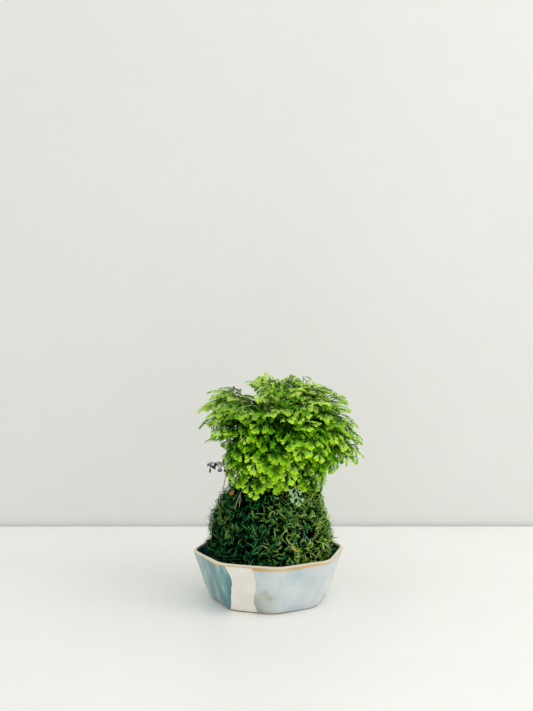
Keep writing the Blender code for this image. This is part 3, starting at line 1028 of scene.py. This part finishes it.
def outer_sprays(kinds, chance, heaps):
    """The outside of the tuft: some sprays are listed, and the rest fill its outline."""
    fronds = frond_spots()
    low, high = CANOPY[0][0], CANOPY[-1][0]
    placed = []
    for x, y, height, fall, tint in SHOWN_SPRAYS:
        tip = np.array([x, y, height])
        level = unit((tip - CROWN) * [1, 1, 0])
        curls = (1.6, 3.2) if abs(x) > 0.045 or height > 0.175 else (3.2, 5.2)
        size = chance.uniform(0.92, 1.04)
        if spray(kinds, chance, heaps, fronds, tip, level, fall, size, tint, curls):
            placed.append(tip)
    for _ in range(60 * SPRAYS):
        if len(placed) == SPRAYS:
            break
        height = chance.uniform(low, high)
        turn = chance.uniform(-math.pi, math.pi)
        level = np.array([math.cos(turn), math.sin(turn), 0.0])
        reach = canopy_reach(height, level[0])
        rise = smoothstep(height, low, high)
        depth = chance.random() ** 2
        tip = CROWN * [1, 1, 0] + level * reach * (1 - 0.26 * depth) + UP * height
        if in_bay(tip[None])[0] or chance.random() > reach / 0.06:
            continue
        if any(np.linalg.norm(tip - other) < SPRAY_GAP for other in placed):
            continue
        fall = np.interp(rise, (0, 0.35, 0.75, 1), (56, 22, -4, -40)) + chance.uniform(-12, 12)
        # Sprays set deeper into the tuft take lower tints and are drawn darker: painted shade
        tint = within(0.42 - 0.16 * depth + 0.04 * rise + chance.gauss(0, 0.18))
        size = chance.uniform(0.85, 1.08)
        if spray(kinds, chance, heaps, fronds, tip, level, fall, size, tint, (2.4, 4.8)):
            placed.append(tip)


def canopy(kinds, chance, material):
    heaps = {number: Heap() for number in range(1, FRONDS + 1)}
    for number, heap in heaps.items():
        frond(number, kinds, chance, heap)
    outer_sprays(kinds, chance, heaps)
    for number, heap in heaps.items():
        piece = heap.piece(f"spike_moss_frond_{number:02d}", material)
        place(piece, "frond", f"frond_{number:02d}")


def frond_material():
    """Lobes that pass from deep green at the base to lime at the tip, with a paler midrib."""
    made, tree, shader = new_material("spike moss", 0.5, 0.04)
    times, between, mix, ramp = tree.times, tree.between, tree.mix, tree.ramp
    u, v = tree.uv()
    along = tree.maths("MULTIPLY", v, 2.08, clamp=True)
    rib_along = tree.maths("MULTIPLY", tree.minus(v, PALE_START), 2.0, clamp=True)
    # The darkest greens at the bases are partly older growth and partly painted shade
    old = ramp(along, (0.0, 0, 22, 0), (0.35, 8, 62, 0), (0.68, 52, 140, 0), (1.0, 126, 206, 0))
    fresh = ramp(
        along, (0.0, 4, 52, 0), (0.33, 44, 140, 0), (0.66, 144, 226, 0), (1.0, 228, 255, 66)
    )
    old_rib = ramp(rib_along, (0.0, 24, 74, 6), (0.6, 88, 150, 24), (1.0, 134, 196, 22))
    fresh_rib = ramp(rib_along, (0.0, 90, 150, 30), (0.5, 208, 230, 124), (1.0, 252, 255, 204))
    # Fans of the lowest tints, deep in the tuft, are drawn near black: painted shade
    shaded_inner = ramp(v, (0.0, 0, 10, 0), (0.48, 12, 46, 2), (0.52, 16, 42, 4), (1.0, 40, 84, 10))
    blade = mix(between(u, 0.14, 0.80), old, fresh)
    # Fans at the top, where the light falls, get paler midribs and a pale wash on their blades:
    # painted highlight
    where = tree.add("ShaderNodeTexCoord").outputs["Object"]
    height = tree.add("ShaderNodeSeparateXYZ", Vector=where).outputs[2]
    high = times(between(height, 0.148, 0.180), between(u, 0.15, 0.45))
    rib = mix(tree.maths("MAXIMUM", between(u, 0.42, 0.92), high), old_rib, fresh_rib)
    blade = mix(times(high, along, 0.26), blade, srgb(226, 244, 130))
    colour = mix(tree.maths("GREATER_THAN", v, PALE_START), blade, rib)
    tree.put(shader, "Base Color", mix(between(u, 0.20, 0.05), colour, shaded_inner))
    return made


STEM_FANS = (0.36, 0.46, 0.55, 0.64, 0.72, 0.80, 0.88, 0.96)


def stem(number, kinds, chance, material, leaf_material):
    """A thin stem along its CAD rod, and the small fans that fill the heart of the plant."""
    node = f"stem_{number:02d}"
    three = spine(node)
    path = np.array([curve_point(three, share)[0] for share in np.linspace(0, 1, 14)])
    points, faces, along = tube(path, np.linspace(0.00085, 0.00060, len(path)), 7)
    rod, leaves = Heap(), Heap()
    ring = np.tile(np.linspace(-0.03, 0.03, 7), len(path))
    rod.put(points, faces, np.column_stack([0.5 + ring, 0.05 + 0.9 * along]))
    place(rod.piece(f"leafy_stem_{number:02d}", material), "stem", node)
    turn = chance.uniform(0, 2 * math.pi)
    for share in STEM_FANS:
        base, way = curve_point(three, share)
        turn += 2.4
        first = unit(np.cross(way, ASKEW))
        out = first * math.cos(turn) + np.cross(way, first) * math.sin(turn)
        outward = unit((base - CROWN) * [1, 1, 0])
        forward = unit(way * 0.5 + out * 0.8 + outward * 0.4)
        up = unit(way - (way * forward).sum() * forward)
        # Fans in the heart of the plant take low tints and are drawn darkest: painted shade
        tint = within(0.04 + 0.30 * share + chance.gauss(0, 0.12))
        kind = random_kind(kinds, 0.4, chance)
        scale = chance.uniform(0.62, 0.85)
        tilt, droop = chance.uniform(0, 20), chance.uniform(2, 4)
        try_fan(leaves, kind, base, forward, up, scale, tilt, droop, tint, chance)
    place(leaves.piece(f"inner_fans_{number:02d}", leaf_material), "frond")


STEM_BARK = ((0.0, 120, 112, 52), (0.35, 140, 158, 66), (1.0, 172, 196, 84))


# Moss

SHOOT_KINDS = 14
SHOOTS = {"left": 1900, "back": 1700, "right": 1900}
SHOOT_PAIRS = 11
MOSS_GAP = 0.0009  # between the moss and the bowl
# Near black at the root, as painted shade down among the shoots, deep green along the shoot, and a
# yellow-green tip
DARK_MOSS = ((0.0, 0, 1, 0), (0.38, 0, 12, 5), (0.72, 18, 112, 56), (1.0, 120, 214, 130))
BRIGHT_MOSS = ((0.0, 0, 2, 0), (0.32, 14, 34, 0), (0.58, 174, 226, 72), (1.0, 255, 255, 200))


def shoot_kind(chance, leaf):
    """One kind of moss shoot, one unit long: a thin curved axis with pairs of pointed leaves."""
    leaf_points, leaf_faces = leaf
    bend_up = chance.uniform(-2.2, 0.4)
    bend_side = chance.choice((-1, 1)) * chance.uniform(0.3, 2.6)
    shares = np.linspace(0, 1, SHOOT_PAIRS + 1)
    angle_up, angle_side = bend_up * shares, bend_side * shares
    steps = [np.cos(angle_side) * np.cos(angle_up), np.sin(angle_side), np.sin(angle_up)]
    steps = np.column_stack(steps) / SHOOT_PAIRS
    path = np.concatenate([[np.zeros(3)], np.cumsum(steps[:-1], axis=0)])
    ways = unit(np.gradient(path, axis=0))
    sides = unit(np.cross(UP, ways))
    tops = np.cross(ways, sides)
    heap = Heap()
    for i, share in enumerate(shares):
        grown = math.sin(math.pi * (0.18 + 0.70 * share)) ** 0.7
        for side in (-1, 1):
            angle = math.radians(34 - 14 * share + chance.uniform(-10, 10))
            way = ways[i] * math.cos(angle) + sides[i] * side * math.sin(angle)
            way = way + tops[i] * chance.uniform(-0.15, 0.4)
            long = 0.104 * grown * chance.uniform(0.8, 1.2)
            spots = laid(leaf_points, path[i], way, np.cross(tops[i], way) * side, tops[i], long)
            v = np.clip(share + 0.08 * leaf_points[:, 0], 0.02, 0.98)
            turned = leaf_faces if side > 0 else leaf_faces[:, ::-1]
            heap.put(spots, turned, np.column_stack([0.4 * leaf_points[:, 1] * side, v]))
    return heap.joined()


def surface_spots(name, count, rng):
    """Points spread over the outside of a CAD sheet of moss, and the outward direction at each."""
    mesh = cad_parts[name].data
    mesh.calc_loop_triangles()
    corners = vertices_of(name)[np.array([t.vertices for t in mesh.loop_triangles])]
    normals = np.cross(corners[:, 1] - corners[:, 0], corners[:, 2] - corners[:, 0])
    areas = np.linalg.norm(normals, axis=1) / 2
    normals = normals / (2 * areas[:, None] + 1e-12)
    centres = corners.mean(axis=1)
    outward = centres - [0.0, 0.0, 0.055]
    outward = unit(outward * [1, 1, 0.8])
    weight = areas * ((normals * outward).sum(axis=1) > 0.35)
    beside = smoothstep(np.abs(centres[:, 0]), 0.030, 0.042)
    weight = weight * (0.12 + 0.88 * smoothstep(centres[:, 2] - 0.010 * beside, 0.018, 0.036))
    weight = weight * (0.25 + 0.75 * smoothstep(-centres[:, 2], -0.1102, -0.105))
    tries = count * 3
    picked = rng.choice(len(corners), tries, p=weight / weight.sum())
    a, b = rng.random((2, tries, 1))
    a, b = np.where(a + b > 1, 1 - a, a), np.where(a + b > 1, 1 - b, b)
    tri = corners[picked]
    spots = tri[:, 0] + a * (tri[:, 1] - tri[:, 0]) + b * (tri[:, 2] - tri[:, 0])
    # Shoots grow in tufts, and the near-black bed shows between them as painted shade in the
    # hollows
    tuft = np.array([noise.noise(Vector(spot) * 210 + Vector((3, 3, 8))) for spot in spots])
    kept = np.argsort(-(tuft + rng.uniform(-0.22, 0.22, tries)))[:count]
    kept = rng.permutation(kept)
    return spots[kept], unit(0.5 * normals[picked] + 0.5 * outward[picked])[kept]


def moss_tint(spots, rng):
    """0 is deep blue-green and 1 is yellow-green: patches of the moss's own colour, with painted
    shade towards the left, away from the light, and lower down.
    """
    patch = np.array([noise.noise(Vector(spot) * 42 + Vector((4, 8, 2))) for spot in spots])
    fine = np.array([noise.noise(Vector(spot) * 130 + Vector((1, 5, 9))) for spot in spots])
    # Lighter towards the right, where the light falls, and darker low down: painted light and shade
    right = smoothstep(spots[:, 0], -0.016, 0.038)
    low = smoothstep(-spots[:, 2], -0.055, -0.030)
    tint = 0.02 + 0.56 * right + 0.40 * patch + 0.40 * fine - 0.08 * low
    return np.clip(tint + rng.normal(0, 0.18, len(spots)), 0.03, 0.97)


def inside_bowl(points):
    """These points, with any below the rim kept inside the bowl's wall and above its floor."""
    heights, radii = np.array(BOWL_RINGS).T
    across, height = np.hypot(points[:, 0], points[:, 1]), points[:, 2]
    gap = BOWL_WALL + MOSS_GAP
    room = np.interp(height, heights, radii) * math.cos(math.pi / BOWL_SIDES) - gap
    room += 3 * np.maximum(height - heights[-1], 0)
    share = np.minimum(1, room / np.maximum(across, MOSS_GAP))
    return np.column_stack([points[:, :2] * share[:, None], np.maximum(height, gap)])


def moss_shoots(which, kinds, material):
    """The loose feathery shoots on one sheet of moss."""
    rng = np.random.default_rng({"left": 11, "back": 12, "right": 13}[which])
    total = SHOOTS[which]
    spots, normals = surface_spots(f"moss_sheet_{which}", total, rng)
    tints = moss_tint(spots, rng)
    flow = rng.normal(0, 1, (total, 3)) + [0, 0, 0.15]
    along = unit(flow - (flow * normals).sum(axis=1, keepdims=True) * normals)
    rise = np.radians(rng.uniform(-2, 30, total) + 26 * (rng.random(total) > 0.8))[:, None]
    forward = along * np.cos(rise) + normals * np.sin(rise)
    side = unit(np.cross(normals, forward))
    top = np.cross(forward, side)
    lengths = rng.uniform(0.0070, 0.0135, total)
    lengths *= 0.85 + 0.35 * smoothstep(spots[:, 0], -0.03, 0.02)
    lengths = np.minimum(lengths, 0.0145) * (1 - 0.35 * np.sin(rise[:, 0]) ** 2)
    # They stand out further at the left, and lie close near the shoulder at the right
    from_shoulder = np.linalg.norm(spots - [0.050, -0.004, 0.086], axis=1) / 0.020
    swell = 0.0010 + 0.0014 * smoothstep(-spots[:, 0], 0.020, 0.040)
    swell -= 0.0022 * np.exp(-(from_shoulder**2))
    roots = spots + normals * (swell - rng.uniform(0.0006, 0.0034, total))[:, None]
    picks = rng.integers(0, len(kinds), total)
    heap = Heap()
    for k, (points, faces, uvs) in enumerate(kinds):
        chosen = np.nonzero(picks == k)[0]
        shape = points[None] * lengths[chosen][:, None, None]
        world = roots[chosen][:, None] + sum(
            shape[..., axis : axis + 1] * ways[chosen][:, None]
            for axis, ways in enumerate((forward, side, top))
        )
        starts = len(points) * np.arange(len(chosen))[:, None, None]
        u = tints[chosen][:, None] + 0.02 * uvs[None, :, 0]
        v = np.broadcast_to(uvs[None, :, 1], u.shape)
        uvs = np.stack([u, v], axis=-1).reshape(-1, 2)
        heap.put(inside_bowl(world.reshape(-1, 3)), (faces[None] + starts).reshape(-1, 3), uvs)
    return place(heap.piece(f"moss_shoots_{which}", material), "moss")


RUNNER_STEP = 0.0011
RUNNERS = {"left": 80, "back": 100, "right": 210}


def moss_runners(which, leaf, material):
    """Long curly feathery strands that lie over the shoots."""
    rng = np.random.default_rng({"left": 21, "back": 22, "right": 23}[which])
    leaf_points, leaf_faces = leaf
    spots, normals = surface_spots(f"moss_sheet_{which}", RUNNERS[which], rng)
    tints = np.clip(moss_tint(spots, rng) + 0.10, 0.03, 0.97)
    heap = Heap()
    for spot, normal, tint in zip(spots, normals, tints):
        heading, turn = rng.uniform(0, 2 * math.pi), rng.uniform(-1, 1) * 0.5
        first = unit(np.cross(normal, ASKEW))
        second = np.cross(normal, first)
        n = int(rng.integers(7, 14))
        x, y, path = 0, 0, []
        for i in range(n):
            lift = 0.0028 * math.sin(math.pi * (i + 0.5) / n) - 0.0010
            path.append(spot + first * x + second * y + normal * lift)
            x, y = x + math.cos(heading) * RUNNER_STEP, y + math.sin(heading) * RUNNER_STEP
            heading += turn
            turn = 0.4 * turn + rng.normal(0, 0.46)
        points, faces, along = tube(path, np.linspace(0.00034, 0.00020, n), 4)
        u = tint + np.tile([-0.01, 0, 0.01, 0], n)
        heap.put(inside_bowl(points), faces, np.column_stack([u, 0.16 + 0.52 * along]))
        ways = unit(np.gradient(np.array(path), axis=0))
        sides = unit(np.cross(normal, ways))
        for i in range(1, n):
            v = 0.16 + 0.52 * i / n + 0.20 * leaf_points[:, 0]
            for side in (-1, 1):
                angle = rng.uniform(0.45, 0.95)
                way = ways[i] * math.cos(angle) + sides[i] * side * math.sin(angle)
                way = unit(way + normal * rng.uniform(-0.1, 0.5))
                long = rng.uniform(0.0011, 0.0019) * (1.15 - 0.5 * i / n)
                shape = laid(leaf_points, path[i], way, np.cross(normal, way) * side, normal, long)
                turned = leaf_faces if side > 0 else leaf_faces[:, ::-1]
                uvs = np.column_stack([tint + 0.03 * leaf_points[:, 1], v])
                heap.put(inside_bowl(shape), turned, uvs)
    return place(heap.piece(f"moss_runners_{which}", material), "moss")


def lumpy_copy(node, name, slot, material, middle, lumps, inward):
    """A finer, uneven copy of a CAD piece. lumps are (times a metre, height) pairs."""
    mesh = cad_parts[node].data.copy()
    made = link(name, mesh)
    activate(made)
    bpy.ops.object.mode_set(mode="EDIT")
    bpy.ops.mesh.select_all(action="SELECT")
    bpy.ops.mesh.remove_doubles(threshold=0.00002)
    bpy.ops.mesh.subdivide(number_cuts=3)
    bpy.ops.object.mode_set(mode="OBJECT")
    for vertex in mesh.vertices:
        out = (vertex.co - middle).normalized()
        lump = sum(noise.noise(vertex.co * times) * height for times, height in lumps)
        vertex.co += out * (lump - inward)
    mesh.materials.clear()
    mesh.materials.append(material)
    bpy.ops.object.shade_smooth()
    return place(made, slot, node)


def moss_bed(which, material):
    """The matted bed below the shoots, drawn near black as painted shade in the hollows."""
    node, name = f"moss_sheet_{which}", f"moss_bed_{which}"
    lumps = ((90, 0.0011), (260, 0.0007))
    return lumpy_copy(node, name, "moss", material, Vector((0, 0, 0.05)), lumps, 0.0014)


# Thread and dry pieces


def thread_material():
    """Cotton thread: fine bands round it, as its twist shows."""
    made, tree, shader = new_material("cotton thread", 0.6, 0.3)
    where = tree.add("ShaderNodeTexCoord").outputs["Object"]
    bands = {"wave_type": "BANDS", "bands_direction": "DIAGONAL"}
    twist = tree.add("ShaderNodeTexWave", bands, Vector=where, Scale=900.0, Distortion=1.0)
    twist = twist.outputs["Fac"]
    tree.put(shader, "Base Color", tree.mix(twist, srgb(48, 128, 144), srgb(126, 204, 212)))
    bump = tree.add("ShaderNodeBump", Height=twist, Distance=0.00008, Strength=0.6)
    tree.put(shader, "Normal", bump.outputs[0])
    return made


def recolour(node, material):
    """A CAD node whose shape is right keeps its mesh, with a finer material."""
    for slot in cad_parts[node].material_slots:
        slot.material = material


# The ends of the stretch that lies free on the moss, and how far from it the rest is sunk
THREAD_SEEN = (Vector((0.0318, -0.0446, 0.0676)), Vector((0.0417, -0.0374, 0.0534)))
THREAD_FREE = (0.0018, 0.0042)
THREAD_SUNK = 0.0046
THREAD_LIFT = 0.0028
THREAD_SHIFT = Vector((-0.0052, 0, 0.0010))
WITHERED = ((0.0, 8, 14, 18), (0.5, 14, 24, 30), (1.0, 36, 46, 48))
STRAW = ((0.0, 196, 178, 124), (1.0, 214, 200, 152))
YOUNG_LEAF = (
    (0.0, 80, 132, 74), (0.25, 134, 186, 118), (0.49, 196, 232, 176), (1.0, 220, 240, 200)
)


def sunk_thread(material):
    """The binding thread, pulled tight: it has sunk into the moss but for one stretch."""
    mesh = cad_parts["binding_thread"].data.copy()
    made = link("cotton_thread", mesh)
    for vertex in mesh.vertices:
        out = Vector((vertex.co.x, vertex.co.y, (vertex.co.z - 0.055) * 0.8)).normalized()
        _, share = intersect_point_line(vertex.co, *THREAD_SEEN)
        seen = THREAD_SEEN[0].lerp(THREAD_SEEN[1], min(max(share, 0), 1))
        sunk = smoothstep((vertex.co - seen).length, *THREAD_FREE)
        vertex.co += out * (THREAD_LIFT * (1 - sunk) - THREAD_SUNK * sunk)
        vertex.co += THREAD_SHIFT * (1 - sunk)
    mesh.materials.clear()
    mesh.materials.append(material)
    return place(made, "thread", "binding_thread")


def hand_twig(heap, points, radius, u, v=0.5, sides=5):
    """A thin twig through a few points, smoothed."""
    points = np.array(points, float)
    spots = np.linspace(0, len(points) - 1, 6 * len(points))
    given = np.arange(len(points))
    path = np.stack([np.interp(spots, given, points[:, k]) for k in range(3)], axis=1)
    for _ in range(3):
        path[1:-1] = (path[:-2] + 2 * path[1:-1] + path[2:]) / 4
    shape, faces, along = tube(path, np.linspace(radius, 0.55 * radius, len(path)), sides)
    ring = np.tile(np.linspace(-0.04, 0.04, sides), len(path))
    heap.put(shape, faces, np.column_stack([u + ring, v + 0.2 * along]))


def forked_stalk(material):
    """A thin pale stalk that lies on the moss and forks."""
    heap = Heap()
    three = spine("dry_stalk_front")
    path = [curve_point(three, share)[0] for share in (0, 0.35, 0.7, 1)]
    hand_twig(heap, path, 0.00042, 0.5)
    fork = path[1] + (path[3] - path[1]) * 0.85 + [0.0028, -0.0022, 0.0]
    knee = (path[1] + fork) / 2 + [0.0006, -0.0008, 0]
    hand_twig(heap, [path[1], knee, fork], 0.0003, 0.5)
    return place(heap.piece("forked_stalk", material), "dry_stalk", "dry_stalk_front")


def withered_sprig(kinds, chance, material):
    """A blackened sprig: a twig with side twigs, and shrivelled curled lobes at their ends."""
    heap = Heap()
    three = spine("withered_frond")
    path = [curve_point(three, share)[0] for share in np.linspace(0, 0.96, 8)]
    hand_twig(heap, path, 0.0008, 0.25)
    for share, side, rise, long, scale in (
        (0.45, 1, -0.5, 0.003, 0.30),
        (0.74, 1, 0.5, 0.002, 0.42),
        (0.80, -1, -0.3, 0.002, 0.46),
        (0.86, 1, 0.2, 0.002, 0.50),
        (0.92, -1, 0.4, 0.002, 0.50),
        (0.96, 1, -0.3, 0.001, 0.50),
    ):
        base, way = curve_point(three, share)
        forward = unit(way * 0.7 + unit(np.cross(way, UP)) * side * 0.6 + UP * rise)
        end = base + forward * long
        hand_twig(heap, [base, (base + end) / 2 + UP * 0.0006, end], 0.0004, 0.25)
        up = upper_face(forward, [0.2, -0.5, 1.0])
        flat, faces, uvs = kinds[0][chance.randrange(len(kinds[0]))]
        shape = curl(flat, 0.6, math.radians(5.5), 0.06)
        points = laid(shape, end, forward, np.cross(up, forward), up, scale * MM)
        heap.put(points, faces, np.column_stack([0.2 + 0.05 * uvs[:, 0], uvs[:, 1]]))
    straw = ((0, 0, 0.0035), (0.004, -0.001, 0.0075), (0.010, -0.001, 0.0105), (0.016, 0, 0.0110))
    hand_twig(heap, [path[-2] + step for step in straw], 0.0003, 0.8)
    return place(heap.piece("withered_sprig", material), "withered", "withered_frond")


def dry_needle(material):
    """A short orange-brown needle lying on the moss."""
    heap = Heap()
    path = [(0.0192, -0.0540, 0.0590), (0.0212, -0.0548, 0.0570), (0.0236, -0.0546, 0.0552)]
    hand_twig(heap, path, 0.0007, 0.5)
    return place(heap.piece("dry_needle", material), "dry_stalk")


# Single fans at the foot of the tuft: (x, height, degrees of lean to +X, size, tint)
TONGUES = (
    (-0.0125, 0.1135, 4, 0.86, 0.66),
    (-0.0080, 0.1170, -4, 0.80, 0.50),
    (0.0040, 0.1190, 4, 0.76, 0.50),
    (0.0150, 0.1190, -8, 0.78, 0.66),
    (0.0260, 0.1170, 10, 0.78, 0.70),
    (-0.0240, 0.1200, -12, 0.74, 0.56),
)
YOUNG_FROND = (0.0220, 0.1082)  # x and height of its base


def tongues(kinds, chance, material, pale_material):
    """Fans that hang over the front of the moss, and one young pale one."""
    heap, young = Heap(), Heap()
    for x, height, lean, scale, tint in TONGUES:
        depth = math.sqrt(max(0.045**2 - x * x, 0)) + 0.002
        base = np.array([x, -depth * 0.86, height])
        forward = unit(np.array([math.sin(math.radians(lean)), -0.35, -1.0]))
        up = upper_face(forward, [0.1, -1.0, 0.25])
        kind = random_kind(kinds, 0.2, chance)
        start = CROWN + [0, -0.006, 0.004]
        twig = [start, (start + base) / 2 + UP * 0.008, base]
        hand_twig(heap, twig, 0.0005, 0.5, PALE_START + 0.1)
        put_fan(heap, kind, base, forward, up, scale, 10, 1.4, tint, chance)
    place(heap.piece("hanging_fans", material), "frond")
    x, height = YOUNG_FROND
    base = np.array([x, -math.sqrt(0.046**2 - x * x) - 0.001, height])
    forward = unit(np.array([0.18, -0.30, -1.0]))
    up = upper_face(forward, [0.3, -1.0, 0.2])
    twig = [CROWN + [0.006, -0.012, 0.004], base + [0, 0.004, 0.007], base]
    hand_twig(young, twig, 0.0004, 0.5, 0.05)
    for number, ahead, tilt in ((1, 0, 20), (3, 0.007, 16)):
        kind, foot = kinds[0][number], base + forward * ahead
        put_fan(young, kind, foot, forward, up, 0.56, tilt, 3.0, 0.5, chance)
    place(young.piece("young_frond", pale_material), "frond")


def small_pieces(kinds, chance, lobe_material):
    sunk_thread(thread_material())
    soil = rough_material("moist soil", srgb(52, 38, 28), 0.95, 500, 0.8, 0.0008)
    recolour("soil_ball", soil)
    stock = rough_material("fibrous stock", srgb(54, 52, 26), 0.85, 420, 0.7, 0.0006)
    recolour("rootstock", stock)
    dry = rough_material("dry straw", srgb(196, 182, 134), 0.7, 900, 0.35, 0.0001)
    forked_stalk(dry)
    recolour("dry_stalk_left", dry)
    dead = ramp_material("withered sprig and straw", 0.8, 0.1, WITHERED, STRAW)
    withered_sprig(kinds, chance, dead)
    dry_needle(rough_material("dry needle", srgb(226, 150, 96), 0.7, 900, 0.3, 0.0001))
    bark = rough_material("bark", srgb(142, 104, 42), 0.8, 620, 1.5, 0.0008)
    low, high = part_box("bark_chip")
    lumps = ((430, 0.0026), (900, 0.0012))
    lumpy_copy("bark_chip", "bark_flake", "bark", bark, (low + high) / 2, lumps, 0.0)
    young = ramp_material("young frond", 0.6, 0.1, YOUNG_LEAF)
    tongues(kinds, chance, lobe_material, young)


camera()
stage()
lights()
bowl()

LEAF = modelled_leaf("lobe leaf", 6, 0.72, 0.10, 0.12)
MOSS_LEAF = modelled_leaf("moss leaf", 4, 0.55, 0.08, -0.08)

leaf_chance = random.Random(5)
# The bed is drawn near black: painted shade
moss_bed_shade_material = rough_material("moss bed in painted shade", srgb(1, 4, 1), 0.95, 650, 0.9, 0.0012, 0.0)
shoot_kinds = [shoot_kind(leaf_chance, MOSS_LEAF) for _ in range(SHOOT_KINDS)]
shoot_material = ramp_material("moss shoots", 0.65, 0.02, DARK_MOSS, BRIGHT_MOSS, (0.16, 0.86))
for which in SHEETS:
    moss_bed(which, moss_bed_shade_material)
    moss_shoots(which, shoot_kinds, shoot_material)
    moss_runners(which, MOSS_LEAF, shoot_material)

fan_kinds = [
    [fan_kind(leaf_chance, LEAF, narrow) for _ in range(FAN_KINDS)] for narrow in (False, True)
]
lobe_material = frond_material()
canopy(fan_kinds, leaf_chance, lobe_material)
pale_stems = ramp_material("pale stems", 0.5, 0.4, STEM_BARK)
for number in range(1, STEMS + 1):
    stem(number, fan_kinds, leaf_chance, pale_stems, lobe_material)
small_pieces(fan_kinds, leaf_chance, lobe_material)
